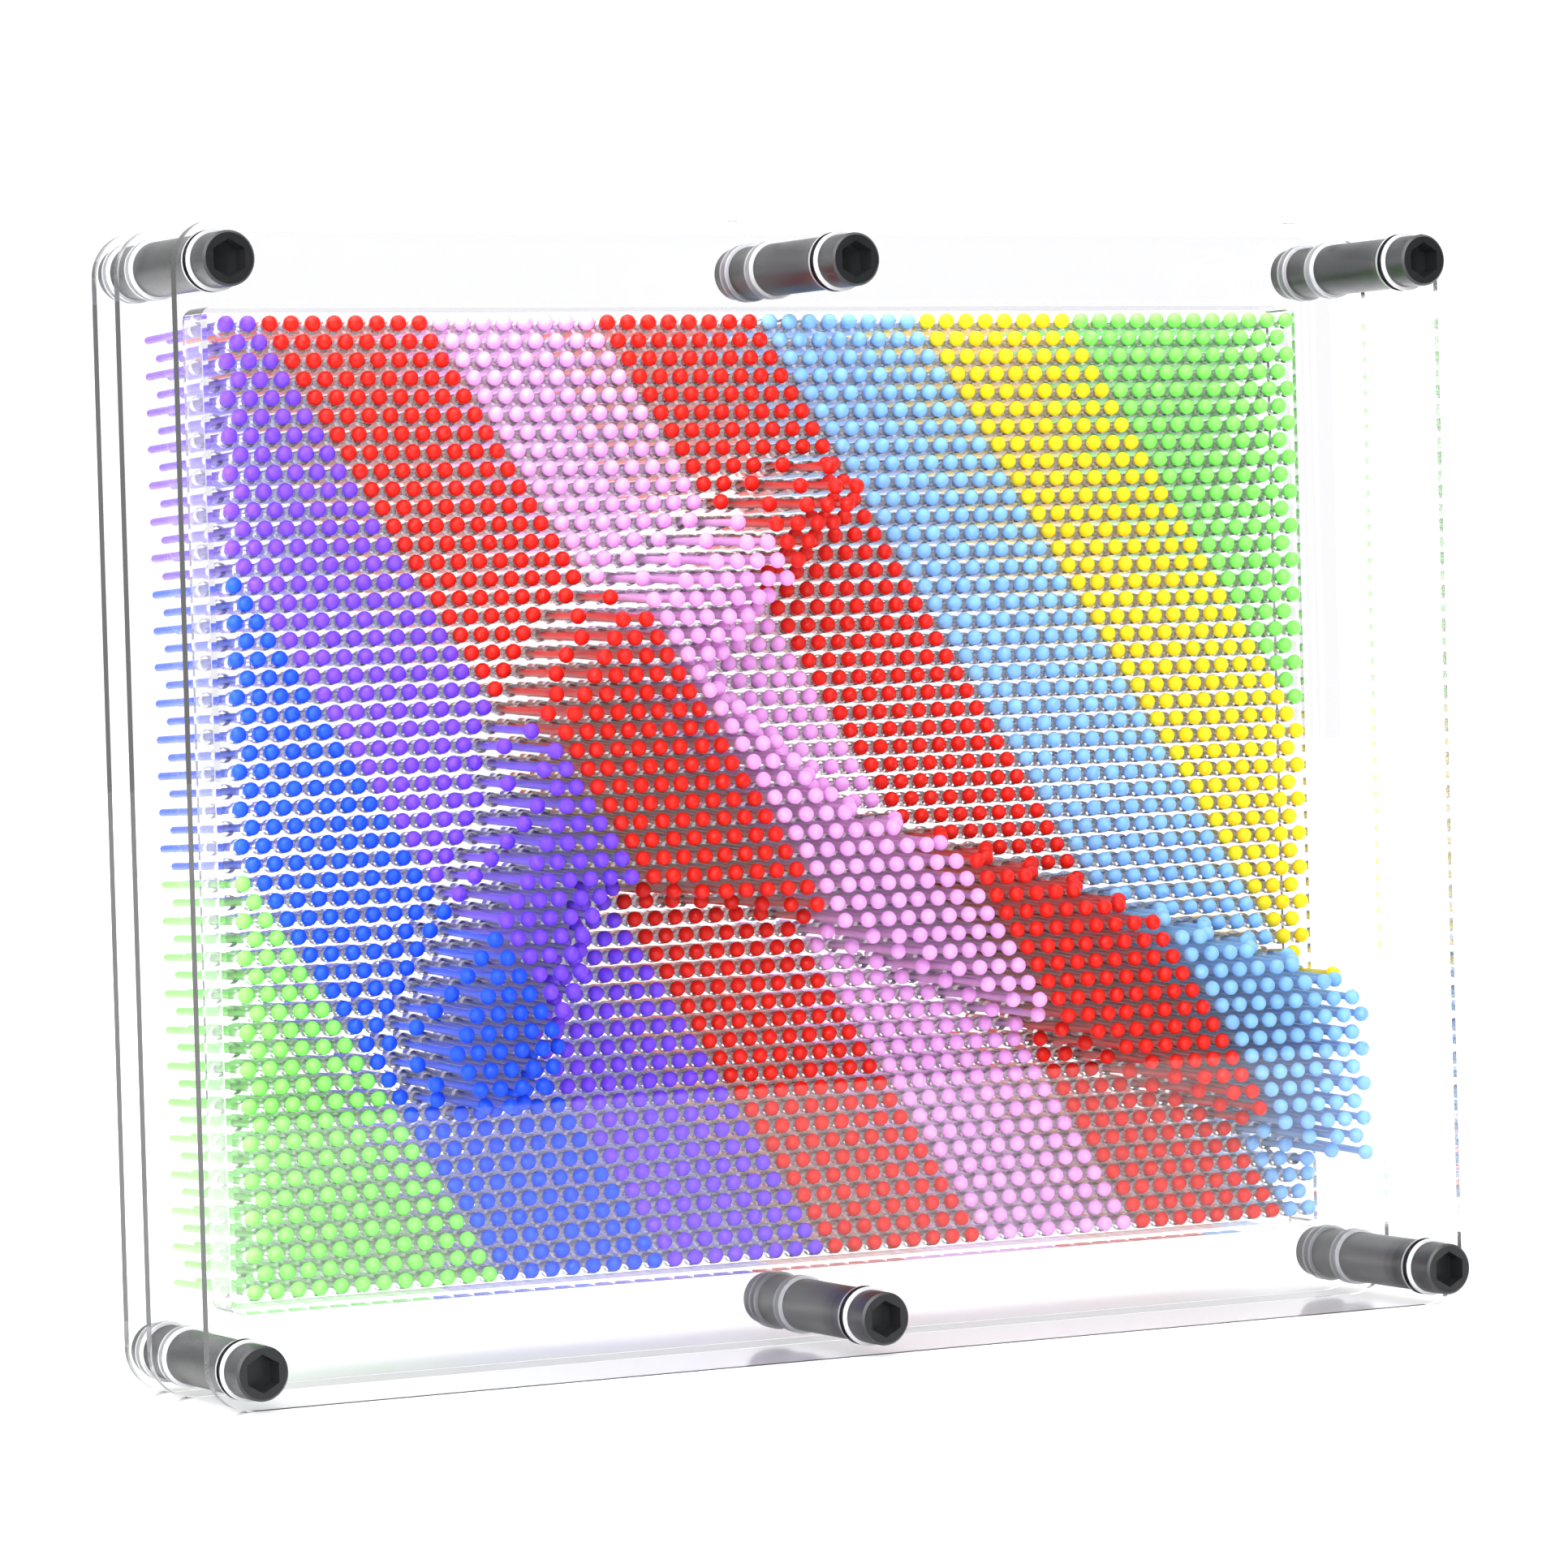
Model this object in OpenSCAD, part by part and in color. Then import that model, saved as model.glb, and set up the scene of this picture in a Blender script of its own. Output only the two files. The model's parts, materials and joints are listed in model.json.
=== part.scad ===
// Pin art impression toy: three clear plates on six black posts, and a bed of coloured pins that
// slide through two of the plates. The pins rest here in the relief of a pressed hand.
// X runs across the board, -Y is the side that the heads face, +Z is up.

/* [Plates] */
// Width of each plate
plate_w = 254; // [200:1:320]
// Height of each plate
plate_h = 202; // [160:1:260]
// Thickness of each plate
plate_t = 2.2; // [1.6:0.1:4]
// Radius of the plate corners
corner_r = 8; // [5:0.5:14]
// Clear space between the cover and the front guide plate
cover_gap = 23.3; // [15:0.1:32]
// Clear space between the two guide plates
guide_gap = 8.2; // [5:0.1:14]

/* [Pins] */
// Pins in a full row
columns = 54; // [40:1:60]
// Rows of pins
rows = 53; // [41:2:59]
// Plate edge to the first pin, at each side
side_margin = 18.75; // [16:0.25:30]
// Plate edge to the first row, at the top and the bottom
end_margin = 17; // [15.5:0.25:30]
// Diameter of the ball head
head_d = 2.9; // [2.4:0.1:3]
// Diameter of the shaft
shaft_d = 1.4; // [1:0.1:1.7]
// Bevel at the end of the shaft
tail_bevel = 0.4; // [0.2:0.05:0.5]
// Length of a pin over everything
pin_length = 38.1; // [32:0.1:50]
// Pins in the width of one colour stripe
stripe_width = 8; // [6:1:10]

/* [Guides] */
// Hole in the front guide plate, which a ball head can't pass
guide_hole_d = 2.3; // [2:0.1:2.4]
// Hole in the back guide plate
back_hole_d = 2.7; // [2:0.1:2.8]
// Outermost pin to the inside of the rim around the pins
rim_clearance = 2.4; // [2:0.1:4]
// Wall of that rim
rim_wall = 1.2; // [0.8:0.1:2]
// Gap between a resting ball head and the edge of its hole
seat_gap = 0.2; // [0.15:0.05:0.4]
// Gap between the cover and a pin that is pushed all the way
stop_gap = 0.65; // [0.4:0.05:1.5]

/* [Posts] */
// Plate edge to the middle of a post
post_inset = 7.1; // [6.5:0.1:9]
// Diameter of caps, spacers and nuts
post_d = 9.5; // [8:0.1:11]
// Length of a screw's cap
cap_length = 5.8; // [4.5:0.1:9]
// Across the flats of the hexagon socket
socket_af = 5.8; // [4:0.1:6.2]
// Depth of the hexagon socket
socket_depth = 4; // [2:0.1:4.2]
// Diameter of a screw's shank
shank_d = 4; // [3:0.1:5]
// Gap around a shank in each hole that it passes
shank_gap = 0.1; // [0.05:0.05:0.3]
// Diameter of the clear washers
washer_d = 10.6; // [9.5:0.1:12]
// Thickness of the clear washers
washer_t = 0.6; // [0.4:0.1:1]
// Length of the closed nuts
nut_length = 3.4; // [3:0.1:6]
// Skin that closes a nut behind the shank
nut_skin = 1; // [0.8:0.1:1.5]
// Bevel on the outer edges of caps and nuts
bevel = 0.4; // [0.2:0.1:0.8]

/* [Hidden] */
$fn = 48;
pin_facets = 16;
cut = 1;

// Pin bed
pitch_x = (plate_w - 2 * side_margin) / (columns - 1);
pitch_z = (plate_h - 2 * end_margin) / (rows - 1);
bed_w = plate_w - 2 * side_margin;
bed_h = plate_h - 2 * end_margin;
rim_w = bed_w + 2 * rim_clearance;
rim_h = bed_h + 2 * rim_clearance;
head_r = head_d / 2;
shaft_r = shaft_d / 2;
head_rest = sqrt(pow(head_r + seat_gap, 2) - pow(guide_hole_d / 2, 2));
travel = cover_gap - head_r - head_rest - stop_gap;
shaft_length = pin_length - head_r - tail_bevel;

// Depths, measured back from the front face of the front guide plate
cover_back = -cover_gap;
cover_front = cover_back - plate_t;
cap_front = cover_front - washer_t - cap_length;
guide_back = plate_t;
back_front = guide_back + guide_gap;
back_back = back_front + plate_t;
nut_front = back_back + washer_t;
shank_end = nut_front + nut_length - nut_skin - shank_gap;
tail_end = pin_length - head_r - head_rest;
middle = (cap_front + tail_end) / 2;
post_bore = shank_d + 2 * shank_gap;

// Colour stripes, from the lower left corner to the upper right one
GREEN = [0.55, 0.93, 0.43];
BLUE = [0.2, 0.42, 0.95];
PURPLE = [0.55, 0.38, 0.93];
RED = [0.83, 0.17, 0.13];
PINK = [0.95, 0.66, 0.96];
SKY = [0.55, 0.75, 0.97];
YELLOW = [1, 0.86, 0.13];
STRIPE_COLOURS = [GREEN, BLUE, PURPLE, RED, PINK, RED, SKY, YELLOW, GREEN];
last_stripe = len(STRIPE_COLOURS) - 1;
first_edge = -14;

// The pressed hand, on a board whose middle is 0,0 and whose half height is 1: each stretch runs
// from one [x, z, radius] to the next, and its edge slopes over hand_slope. Level 0 is a pin that
// isn't pressed, level 1 one pressed up to half of its travel, and level 2 one pressed further.
board_half_w = 1.29;
hand_slope = 0.06;
least_rise = 0.5;
levels = 2;
HAND = [
    [[1.4, -0.71, 0.23], [0, -0.15, 0.16]],
    [[0, -0.15, 0.15], [-0.46, 0.07, 0.3]],
    [[-0.48, 0.27, 0.17], [0.03, 0.65, 0.08]],
    [[-0.63, -0.06, 0.14], [-0.81, -0.5, 0.17]]
];

module at_depth(y) translate([0, y - middle, 0]) rotate([-90, 0, 0]) mirror([0, 1, 0]) children();

// A flat shape drawn in X and Z becomes a sheet from one depth to another
module sheet(from, to) at_depth(from) linear_extrude(to - from) children();

module post_places() for (x = [-1, 0, 1], z = [post_inset, plate_h - post_inset])
    translate([x * (plate_w / 2 - post_inset), z]) children();

module plate_outline() difference() {
    translate([0, plate_h / 2]) rounded(plate_w, plate_h, corner_r);
    post_places() circle(d = post_bore);
}

module rounded(w, h, r) {
    square([w - 2 * r, h], center = true);
    square([w, h - 2 * r], center = true);
    for (x = [-1, 1], z = [-1, 1]) translate([x * (w / 2 - r), z * (h / 2 - r)]) circle(r);
}

// Row 0 is the top one, and every other row has one pin fewer and stands half a pitch across
function pins_in(row) = columns - row % 2;
function across(row, i) = i + (row % 2) / 2;
function place(row, i) =
    [(across(row, i) - (columns - 1) / 2) * pitch_x, plate_h - end_margin - row * pitch_z];
function stripe_of(row, i) =
    max(0, min(last_stripe, 1 + floor((across(row, i) - row / 2 - first_edge) / stripe_width)));

function on_board(row, i) = [
    board_half_w * (2 * across(row, i) / (columns - 1) - 1),
    1 - 2 * row / (rows - 1)
];
function along(p, a, b) = max(0, min(1, (p - a) * (b - a) / ((b - a) * (b - a))));
function inside_by(p, a, b, ra, rb) =
    let (t = along(p, a, b)) ra + t * (rb - ra) - norm(p - a - t * (b - a));
function pressed(p) = max([for (h = HAND)
    inside_by(p, [h[0][0], h[0][1]], [h[1][0], h[1][1]], h[0][2], h[1][2])]);
function eased(t) = t * t * (3 - 2 * t);
function rise(row, i) = travel * eased(max(0, min(1, pressed(on_board(row, i)) / hand_slope)));
function level_of(height) = height < least_rise ? 0 : ceil(height / travel * levels);

// The holes of one row are joined into a slot that is as high as a hole is wide
module guide_slots(d) for (row = [0:rows - 1]) translate([0, place(row, 0)[1]]) {
    half = -place(row, 0)[0];
    square([2 * half, d], center = true);
    for (x = [-half, half]) translate([x, 0]) circle(d = d);
}

// One turned profile: a ball head with eight sides, its bevelled neck, the shaft and the bevelled tail
module pin() {
    head_flat = head_r * tan(22.5);
    rotate_extrude($fn = pin_facets) polygon([
        [0, -head_r], [head_flat, -head_r], [head_r, -head_flat], [head_r, head_flat],
        [shaft_r, head_flat + head_r - shaft_r], [shaft_r, shaft_length],
        [shaft_r - tail_bevel, shaft_length + tail_bevel], [0, shaft_length + tail_bevel]
    ]);
}

module pins(stripe, level) color(STRIPE_COLOURS[stripe])
    for (row = [0:rows - 1], i = [0:pins_in(row) - 1])
        if (stripe_of(row, i) == stripe && level_of(rise(row, i)) == level)
            at_depth(-head_rest - (level == 0 ? 0 : rise(row, i))) translate(place(row, i)) pin();

module cover_plate() color([0.9, 0.93, 0.97, 0.4])
    sheet(cover_front, cover_back) plate_outline();

module front_guide_plate() color([0.9, 0.93, 0.97, 0.4])
    sheet(0, guide_back) difference() {
        plate_outline();
        guide_slots(guide_hole_d);
    }

module back_guide_plate() color([0.9, 0.93, 0.97, 0.4])
    sheet(back_front, back_back) difference() {
        plate_outline();
        guide_slots(back_hole_d);
    }

module field_rim() color([0.9, 0.93, 0.97, 0.4])
    sheet(guide_back, back_front) translate([0, plate_h / 2]) difference() {
        rounded(rim_w + 2 * rim_wall, rim_h + 2 * rim_wall, 2 * rim_wall);
        square([rim_w, rim_h], center = true);
    }

module at_posts(y) at_depth(y) post_places() children();

module socket_screws() color([0.1, 0.1, 0.11])
    at_posts(cap_front) difference() {
        union() {
            cylinder(d1 = post_d - 2 * bevel, d2 = post_d, h = bevel);
            translate([0, 0, bevel]) cylinder(d = post_d, h = cap_length - bevel);
            translate([0, 0, cap_length]) cylinder(d = shank_d, h = shank_end - cap_front - cap_length);
        }
        translate([0, 0, -cut]) rotate(30) cylinder(d = socket_af / cos(30), h = socket_depth + cut, $fn = 6);
    }

module tube(d, length) difference() {
    cylinder(d = d, h = length);
    translate([0, 0, -cut]) cylinder(d = post_bore, h = length + 2 * cut);
}

module clear_washers() color([0.9, 0.93, 0.97, 0.5])
    for (y = [cover_front - washer_t, cover_back, -washer_t, guide_back, back_front - washer_t, back_back])
        at_posts(y) tube(washer_d, washer_t);

module long_spacers() color([0.1, 0.1, 0.11])
    at_posts(cover_back + washer_t) tube(post_d, cover_gap - 2 * washer_t);

module short_spacers() color([0.1, 0.1, 0.11])
    at_posts(guide_back + washer_t) tube(post_d, guide_gap - 2 * washer_t);

module closed_nuts() color([0.1, 0.1, 0.11])
    at_posts(nut_front) difference() {
        union() {
            cylinder(d = post_d, h = nut_length - bevel);
            translate([0, 0, nut_length - bevel]) cylinder(d1 = post_d, d2 = post_d - 2 * bevel, h = bevel);
        }
        translate([0, 0, -cut]) cylinder(d = post_bore, h = nut_length - nut_skin + cut);
    }

cover_plate();
front_guide_plate();
back_guide_plate();
field_rim();
socket_screws();
clear_washers();
long_spacers();
short_spacers();
closed_nuts();
pins(0, 0);  // pins_green_left_flat
pins(1, 0);  // pins_royal_blue_flat
pins(2, 0);  // pins_purple_flat
pins(3, 0);  // pins_red_left_flat
pins(4, 0);  // pins_pink_flat
pins(5, 0);  // pins_red_right_flat
pins(6, 0);  // pins_light_blue_flat
pins(7, 0);  // pins_yellow_flat
pins(8, 0);  // pins_green_right_flat
pins(1, 1);  // pins_royal_blue_level_1
pins(1, 2);  // pins_royal_blue_level_2
pins(2, 1);  // pins_purple_level_1
pins(2, 2);  // pins_purple_level_2
pins(3, 1);  // pins_red_left_level_1
pins(3, 2);  // pins_red_left_level_2
pins(4, 1);  // pins_pink_level_1
pins(4, 2);  // pins_pink_level_2
pins(5, 1);  // pins_red_right_level_1
pins(5, 2);  // pins_red_right_level_2
pins(6, 1);  // pins_light_blue_level_1
pins(6, 2);  // pins_light_blue_level_2
pins(7, 2);  // pins_yellow_level_2
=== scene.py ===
"""A pin art impression toy: clear plates on black posts, and a bed of moulded pins in nine stripes."""

import json
import math

import bpy
import numpy as np
from mathutils import Matrix, Vector


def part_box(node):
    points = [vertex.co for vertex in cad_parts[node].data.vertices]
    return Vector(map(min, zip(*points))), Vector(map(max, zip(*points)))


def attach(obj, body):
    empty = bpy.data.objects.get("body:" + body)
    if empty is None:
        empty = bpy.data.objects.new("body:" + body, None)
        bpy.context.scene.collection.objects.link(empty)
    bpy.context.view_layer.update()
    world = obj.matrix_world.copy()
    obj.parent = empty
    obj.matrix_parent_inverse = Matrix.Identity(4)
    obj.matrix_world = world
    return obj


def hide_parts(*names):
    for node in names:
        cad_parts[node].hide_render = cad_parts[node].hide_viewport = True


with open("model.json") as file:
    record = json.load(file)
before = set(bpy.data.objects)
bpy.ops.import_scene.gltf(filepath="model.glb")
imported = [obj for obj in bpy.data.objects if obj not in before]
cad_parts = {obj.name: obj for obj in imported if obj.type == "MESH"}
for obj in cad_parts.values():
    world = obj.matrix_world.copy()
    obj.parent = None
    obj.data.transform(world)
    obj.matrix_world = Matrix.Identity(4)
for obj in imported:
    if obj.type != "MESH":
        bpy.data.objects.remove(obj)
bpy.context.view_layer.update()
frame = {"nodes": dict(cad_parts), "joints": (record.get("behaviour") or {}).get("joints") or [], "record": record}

MM = 0.001
plate_low, plate_high = (Vector(corner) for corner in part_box("front_guide_plate"))

# The bed of pins, and what a plate has besides its holes
COLUMNS, ROWS = 54, 53
SIDE_MARGIN, END_MARGIN = 18.75 * MM, 17 * MM
PITCH_X = (plate_high.x - plate_low.x - 2 * SIDE_MARGIN) / (COLUMNS - 1)
PITCH_Z = (plate_high.z - plate_low.z - 2 * END_MARGIN) / (ROWS - 1)
CORNER_R = 8 * MM
POST_INSET = 7.1 * MM
POST_HOLE_R = 2.1 * MM
GUIDE_HOLE_R = {"front_guide_plate": 1.15 * MM, "back_guide_plate": 1.35 * MM}

POST_HOLE_SIDES, GUIDE_HOLE_SIDES, CORNER_STEPS = 32, 16, 12

# A pin
PIN_SIDES, BALL_RINGS = 14, 8
HEAD_R = 1.45 * MM
SHAFT_R = 0.7 * MM
TAIL_BEVEL = 0.4 * MM
NECK_R = 0.35 * MM

# A pin hangs in its two loose holes, tail down when it is flat and head down when it is pressed all the
# way, and its shaft may stand this far off the middle of each hole
TRAVEL = 20 * MM
FLAT_TILT, PRESSED_TILT, SIDE_TILT = (math.radians(a) for a in (1.9, -2.7, 0.5))
FLAT_LIFT, PRESSED_LIFT = 0.36 * MM, -0.34 * MM
SHAFT_PLAY = {"front_guide_plate": 0.4 * MM, "back_guide_plate": 0.6 * MM}


# ---------------------------------------------------------------- camera

def place_camera():
    """Left of the board and a little above its middle, four board widths off, with a long lens."""
    yaw, pitch, roll = (math.radians(a) for a in (27.9128, 1.5613, -1.6085))
    ahead = Vector((math.sin(yaw) * math.cos(pitch), math.cos(yaw) * math.cos(pitch), -math.sin(pitch)))
    level = Vector((math.cos(yaw), -math.sin(yaw), 0))
    upward = level.cross(ahead)
    right = level * math.cos(roll) + upward * math.sin(roll)
    up = upward * math.cos(roll) - level * math.sin(roll)
    data = bpy.data.cameras.new("camera")
    data.lens, data.sensor_width = 144.49, 36
    camera = bpy.data.objects.new("camera", data)
    turn = Matrix((right, up, -ahead)).transposed().to_4x4()
    camera.matrix_world = Matrix.Translation((-0.53497, -1.01049, 0.13289)) @ turn
    bpy.context.scene.collection.objects.link(camera)
    bpy.context.scene.camera = camera


place_camera()


# ---------------------------------------------------------------- materials

def linear(hex_colour):
    """An sRGB hex colour as linear red, green, blue and alpha."""
    parts = [int(hex_colour[i:i + 2], 16) / 255 for i in (1, 3, 5)]
    return [c / 12.92 if c <= 0.04045 else ((c + 0.055) / 1.055) ** 2.4 for c in parts] + [1]


def add(tree, kind, settings=None, links=None):
    """Adds a node, sets its properties or inputs, and links its inputs from (node, output)."""
    node = tree.nodes.new(kind)
    for key, value in (settings or {}).items():
        if isinstance(key, int) or key in node.inputs.keys():
            node.inputs[key].default_value = value
        else:
            setattr(node, key, value)
    for key, (source, output) in (links or {}).items():
        tree.links.new(source.outputs[output], node.inputs[key])
    return node


def new_material(name, values):
    """A material with one shader, and the values of that shader's own sockets."""
    material = bpy.data.materials.new(name)
    material.use_nodes = True
    shader = material.node_tree.nodes["Principled BSDF"]
    for key, value in values.items():
        shader.inputs[key].default_value = value
    return material, material.node_tree, shader


def moulded_pin_plastic(name, body_hex):
    """Dyed translucent polystyrene, injection moulded: a wet gloss over colour that light soaks into,
    each pin a little lighter or darker than the next, with flow marks as faint clouding."""
    material, tree, shader = new_material(name, {
        "Roughness": 0.2, "IOR": 1.55, "Specular IOR Level": 0.2, "Subsurface Weight": 0.7,
        "Subsurface Radius": (1, 1, 1), "Subsurface Scale": 1.2 * MM,
    })
    island = add(tree, "ShaderNodeNewGeometry")
    coords = add(tree, "ShaderNodeTexCoord")
    flow = add(tree, "ShaderNodeTexNoise", {"Scale": 1 / (1.5 * MM), "Detail": 2},
               {"Vector": (coords, "Object")})
    cloud = add(tree, "ShaderNodeMapRange", {"To Min": -0.05, "To Max": 0.05}, {"Value": (flow, "Fac")})
    shade = add(tree, "ShaderNodeMapRange", {"To Min": 0.93, "To Max": 1.07},
                {"Value": (island, "Random Per Island")})
    value = add(tree, "ShaderNodeMath", {"operation": "ADD"}, {0: (shade, "Result"), 1: (cloud, "Result")})
    colour = add(tree, "ShaderNodeHueSaturation", {"Color": linear(body_hex)}, {"Value": (value, "Value")})
    tree.links.new(colour.outputs["Color"], shader.inputs["Base Color"])
    return material


def black_nylon():
    """Glass-filled nylon, moulded: near black with a soft satin sheen and a fine mould grain."""
    material, tree, shader = new_material("nylon_black_moulded", {
        "Base Color": linear("#111214"), "Roughness": 0.3, "IOR": 1.53, "Specular IOR Level": 0.4})
    coords = add(tree, "ShaderNodeTexCoord")
    grain = add(tree, "ShaderNodeTexNoise", {"Scale": 1 / (0.6 * MM), "Detail": 3},
                {"Vector": (coords, "Object")})
    bump = add(tree, "ShaderNodeBump", {"Strength": 0.15, "Distance": 0.02 * MM},
               {"Height": (grain, "Fac")})
    tree.links.new(bump.outputs["Normal"], shader.inputs["Normal"])
    rough = add(tree, "ShaderNodeMapRange", {"To Min": 0.26, "To Max": 0.42}, {"Value": (grain, "Fac")})
    tree.links.new(rough.outputs["Result"], shader.inputs["Roughness"])
    return material


def cast_acrylic(name, roughness):
    """Cast acrylic sheet: all but unseen face on, and lilac grey where light runs far inside it, as at
    its edges. Polished on its faces, and cloudy where a drill has left the wall of a hole."""
    material, tree, _ = new_material(name, {
        "Base Color": linear("#FFFFFF"), "Roughness": roughness, "IOR": 1.49, "Transmission Weight": 1})
    tint = add(tree, "ShaderNodeVolumeAbsorption", {"Color": linear("#9C9CD6"), "Density": 9})
    tree.links.new(tint.outputs["Volume"], tree.nodes["Material Output"].inputs["Volume"])
    return material


def clear_nylon():
    """Unfilled nylon, moulded: cloudy clear, so that a thin ring of it gathers light and looks bright."""
    return new_material("nylon_clear_moulded", {
        "Base Color": linear("#F4F5F8"), "Roughness": 0.18, "IOR": 1.53, "Transmission Weight": 0.5})[0]


PIN_HEX = {
    "green": "#8CF06C",
    "royal_blue": "#1E58F6",
    "purple": "#7E4CF3",
    "red": "#E21E10",
    "pink": "#F8B4FA",
    "light_blue": "#8FC4FC",
    "yellow": "#FFE01E",
}
pin_plastic = {c: moulded_pin_plastic(f"polystyrene_{c}", h) for c, h in PIN_HEX.items()}
nylon = black_nylon()
acrylic = cast_acrylic("acrylic_clear_polished", 0)
cut_acrylic = cast_acrylic("acrylic_clear_drilled", 0.3)
ring_nylon = clear_nylon()


# ---------------------------------------------------------------- pins

def pin_outline():
    """Radius and depth behind the head's middle, along a pin: ball and soft neck down to where the shaft starts;
    pin_mesh adds the shaft and the bevelled tail.
    """
    neck = math.asin((SHAFT_R + NECK_R / 2) / HEAD_R)
    ball = [math.pi - k * (math.pi - neck) / BALL_RINGS for k in range(1, BALL_RINGS + 1)]
    outline = [(HEAD_R * math.sin(a), HEAD_R * math.cos(a)) for a in ball]
    outline.append((SHAFT_R, outline[-1][1] + NECK_R))
    return outline


def ring(radius, depth):
    turn = np.linspace(0, 2 * math.pi, PIN_SIDES, endpoint=False)
    return np.stack([radius * np.cos(turn), np.full(PIN_SIDES, depth), radius * np.sin(turn)], 1)


def pin_mesh(length):
    """One pin along Y with the middle of its head at 0, as points and faces."""
    tail = length - HEAD_R
    outline = pin_outline() + [(SHAFT_R, tail - TAIL_BEVEL), (SHAFT_R - TAIL_BEVEL, tail)]
    points = np.concatenate([[[0, -HEAD_R, 0]]] + [ring(r, y) for r, y in outline])
    faces = [(0, 1 + k, 1 + (k + 1) % PIN_SIDES) for k in range(PIN_SIDES)]
    for band in range(len(outline) - 1):
        at = 1 + band * PIN_SIDES
        faces += [(at + k, at + PIN_SIDES + k, at + PIN_SIDES + (k + 1) % PIN_SIDES, at + (k + 1) % PIN_SIDES)
                  for k in range(PIN_SIDES)]
    last = 1 + (len(outline) - 1) * PIN_SIDES
    faces.append(tuple(last + k for k in reversed(range(PIN_SIDES))))
    return points, faces


FLAT_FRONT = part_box("pins_green_left_flat")[0][1]


def pins_of(node):
    """Each pin of a CAD node as its X and Z and the depths of its two ends."""
    mesh = frame["nodes"][node].data
    points = np.empty(len(mesh.vertices) * 3)
    mesh.vertices.foreach_get("co", points)
    points = points.reshape(-1, 3)
    row = np.rint((plate_high.z - END_MARGIN - points[:, 2]) / PITCH_Z).astype(int)
    column = np.rint(points[:, 0] / PITCH_X + (COLUMNS - 1) / 2 - row % 2 / 2).astype(int)
    key = row * COLUMNS + column
    for one in np.unique(key):
        row, column = divmod(int(one), COLUMNS)
        depths = points[key == one, 1]
        yield ((column + row % 2 / 2 - (COLUMNS - 1) / 2) * PITCH_X,
               plate_high.z - END_MARGIN - row * PITCH_Z, depths.min(), depths.max())


plate_depths = {plate: [corner[1] - plate_low.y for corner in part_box(plate)] for plate in SHAFT_PLAY}


def hang(pressed, travel):
    """Slope and lift of a pin that clears the walls of both its holes from one end of its travel to the
    other, as near as it can to the way a free pin would hang."""
    slope = FLAT_TILT + pressed * (PRESSED_TILT - FLAT_TILT)
    lift = FLAT_LIFT + pressed * (PRESSED_LIFT - FLAT_LIFT)
    walls = []
    for plate, (front, back) in plate_depths.items():
        walls += [(front + travel[0], SHAFT_PLAY[plate]), (back + travel[1], SHAFT_PLAY[plate])]
    for share in np.linspace(1, 0, 101):
        least = max(slope * share * depth - play for depth, play in walls)
        most = min(slope * share * depth + play for depth, play in walls)
        if least <= most:
            return slope * share, min(most, max(least, lift))


def build_pins(node, body, slot):
    travel = next(joint["range_m"] for joint in frame["joints"] if joint["child"] == body)
    sites = list(pins_of(node))
    template, sides = pin_mesh(sites[0][3] - sites[0][2])
    draw = np.random.RandomState(len(sites))
    hung = []
    for x, z, front, _ in sites:
        pressed = min(1, max(0, (FLAT_FRONT - front) / TRAVEL))
        slope, lift = hang(pressed, travel)
        aside = pressed * draw.uniform(-SIDE_TILT, SIDE_TILT)
        depth = template[:, 1] + front + HEAD_R - plate_low.y
        hung.append(template + (x, front + HEAD_R, z)
                    + np.stack([aside * depth, 0 * depth, lift - slope * depth], 1))
    points = np.concatenate(hung)
    faces = [tuple(p + n * len(template) for p in face) for n in range(len(sites)) for face in sides]
    mesh = bpy.data.meshes.new(f"{node}_moulded")
    mesh.from_pydata(points.tolist(), [], faces)
    mesh.polygons.foreach_set("use_smooth", [len(face) < PIN_SIDES for face in faces])
    piece = bpy.data.objects.new(f"{node}_moulded", mesh)
    bpy.context.scene.collection.objects.link(piece)
    mesh.materials.append(pin_plastic[slot.removesuffix("_pin")])
    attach(piece, body)
    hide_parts(node)


# ---------------------------------------------------------------- plates

def circle(x, z, radius, sides):
    turns = [2 * math.pi * k / sides for k in range(sides)]
    return [(x + radius * math.cos(t), z + radius * math.sin(t)) for t in turns]


def plate_edge():
    """The outline of a plate with its rounded corners."""
    edge = []
    for corner, (x, z) in enumerate([(plate_high.x, plate_high.z), (plate_low.x, plate_high.z),
                                     (plate_low.x, plate_low.z), (plate_high.x, plate_low.z)]):
        x -= math.copysign(CORNER_R, x)
        z += CORNER_R if z == plate_low.z else -CORNER_R
        for step in range(CORNER_STEPS + 1):
            turn = (corner + step / CORNER_STEPS) * math.pi / 2
            edge.append((x + CORNER_R * math.cos(turn), z + CORNER_R * math.sin(turn)))
    return edge


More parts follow.
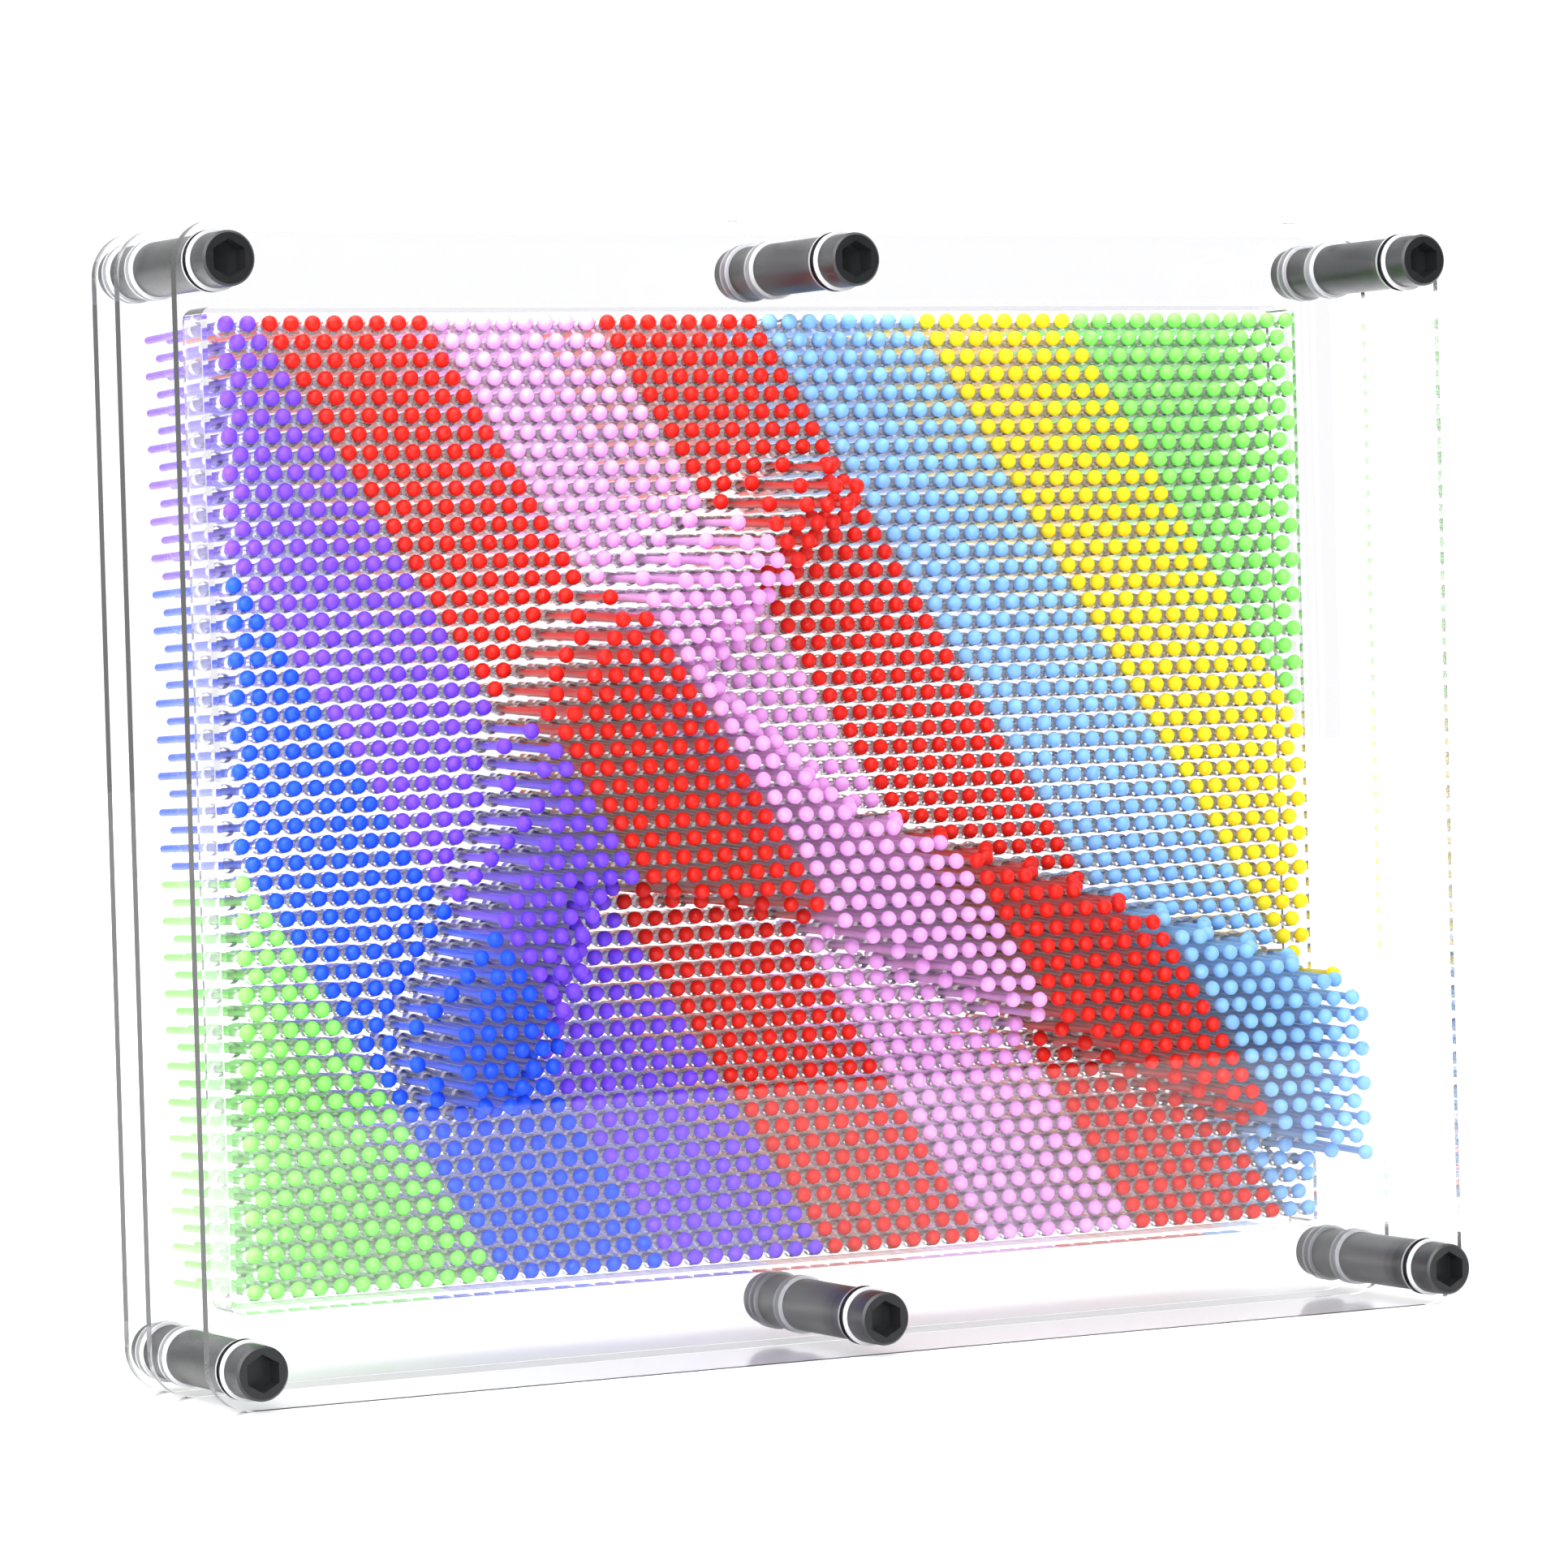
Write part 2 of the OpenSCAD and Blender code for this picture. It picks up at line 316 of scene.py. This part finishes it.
def build_guide_plate(node, hole_r):
    """A guide plate with a round hole for every pin, drawn flat and given its thickness."""
    front, back = (corner[1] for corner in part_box(node))
    loops = [plate_edge()]
    for x in (plate_low.x + POST_INSET, 0, plate_high.x - POST_INSET):
        for z in (plate_low.z + POST_INSET, plate_high.z - POST_INSET):
            loops.append(circle(x, z, POST_HOLE_R, POST_HOLE_SIDES))
    for row in range(ROWS):
        for column in range(COLUMNS - row % 2):
            x = (column + row % 2 / 2 - (COLUMNS - 1) / 2) * PITCH_X
            z = plate_high.z - END_MARGIN - row * PITCH_Z
            loops.append(circle(x, z, hole_r, GUIDE_HOLE_SIDES))
    drawing = bpy.data.curves.new(f"{node}_drilled", "CURVE")
    drawing.dimensions, drawing.fill_mode, drawing.extrude = "2D", "BOTH", (back - front) / 2
    for loop in loops:
        spline = drawing.splines.new("POLY")
        spline.points.add(len(loop) - 1)
        spline.points.foreach_set("co", [value for x, z in loop for value in (x, z, 0, 1)])
        spline.use_cyclic_u = True
    sheet = bpy.data.objects.new(f"{node}_drawing", drawing)
    bpy.context.scene.collection.objects.link(sheet)
    flat = sheet.evaluated_get(bpy.context.evaluated_depsgraph_get())
    mesh = bpy.data.meshes.new_from_object(flat)
    bpy.data.objects.remove(sheet)
    mesh.transform(Matrix.Translation((0, (front + back) / 2, 0)) @ Matrix.Rotation(math.pi / 2, 4, "X"))
    mesh.materials.clear()
    mesh.materials.append(acrylic)
    mesh.materials.append(cut_acrylic)
    bed_low, bed_high = plate_low.z + END_MARGIN / 2, plate_high.z - END_MARGIN / 2
    side = plate_high.x - SIDE_MARGIN / 2
    for face in mesh.polygons:
        inside = abs(face.center.x) < side and bed_low < face.center.z < bed_high
        face.material_index = int(inside and abs(face.normal.y) < 0.5)
    piece = bpy.data.objects.new(f"{node}_drilled", mesh)
    bpy.context.scene.collection.objects.link(piece)
    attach(piece, "frame")
    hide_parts(node)


# ---------------------------------------------------------------- pieces

slots = {part["node"]: part["material_slot"] for part in frame["record"]["subparts"]}
body_of = {node: body for body, nodes in frame["record"]["behaviour"]["bodies"].items() for node in nodes}
finish = {"clear_acrylic": acrylic, "clear_nylon": ring_nylon, "black_nylon": nylon}

for node, piece in frame["nodes"].items():
    if node in GUIDE_HOLE_R:
        build_guide_plate(node, GUIDE_HOLE_R[node])
    elif slots[node].endswith("_pin"):
        build_pins(node, body_of[node], slots[node])
    else:
        piece.data.materials.clear()
        piece.data.materials.append(finish[slots[node]])


# ---------------------------------------------------------------- stage and light

def build_stage():
    """A white lacquered table top whose front edge ends in front of the board."""
    front_edge, reach = -0.6, 4
    mesh = bpy.data.meshes.new("table_top")
    mesh.from_pydata([(-reach, front_edge, 0), (reach, front_edge, 0), (reach, reach, 0), (-reach, reach, 0)],
                     [], [(0, 1, 2, 3)])
    table = bpy.data.objects.new("table_top", mesh)
    bpy.context.scene.collection.objects.link(table)
    mesh.materials.append(new_material("lacquer_white", {
        "Base Color": linear("#F7F7F7"), "Roughness": 0.1, "IOR": 1.5})[0])


def build_light():
    """A white room, brightest where the softboxes stand, with one black card low on the right in front."""
    world = bpy.data.worlds.new("studio")
    bpy.context.scene.world = world
    world.use_nodes = True
    tree = world.node_tree
    back = tree.nodes["Background"]
    back.inputs["Color"].default_value = linear("#FFFFFF")
    coords = add(tree, "ShaderNodeTexCoord")

    def lobe(towards, outer, inner, start, end):
        """A round patch of the room: how far a direction is inside it, as a value from start to end."""
        towards = Vector(towards).normalized()
        near = add(tree, "ShaderNodeVectorMath", {"operation": "DOT_PRODUCT", 1: towards},
                   {0: (coords, "Generated")})
        return add(tree, "ShaderNodeMapRange", {
            "interpolation_type": "SMOOTHSTEP", "From Min": math.cos(math.radians(outer)),
            "From Max": math.cos(math.radians(inner)), "To Min": start, "To Max": end,
        }, {"Value": (near, "Value")})

    behind = lobe((0.3, 1, 0.1), 85, 40, 0.75, 1.28)
    key = lobe((-0.75, -0.75, 0.75), 55, 25, 0, 6)
    top = lobe((0.1, 0.1, 1), 45, 20, 0, 2)
    card = lobe((0.47, -0.88, 0.03), 32, 20, 1, 0.08)
    lit = add(tree, "ShaderNodeMath", {"operation": "ADD"}, {0: (behind, "Result"), 1: (key, "Result")})
    lit = add(tree, "ShaderNodeMath", {"operation": "ADD"}, {0: (lit, "Value"), 1: (top, "Result")})
    shaded = add(tree, "ShaderNodeMath", {"operation": "MULTIPLY"}, {0: (lit, "Value"), 1: (card, "Result")})
    tree.links.new(shaded.outputs["Value"], back.inputs["Strength"])


build_stage()
build_light()
bpy.context.scene.view_settings.view_transform = "Standard"
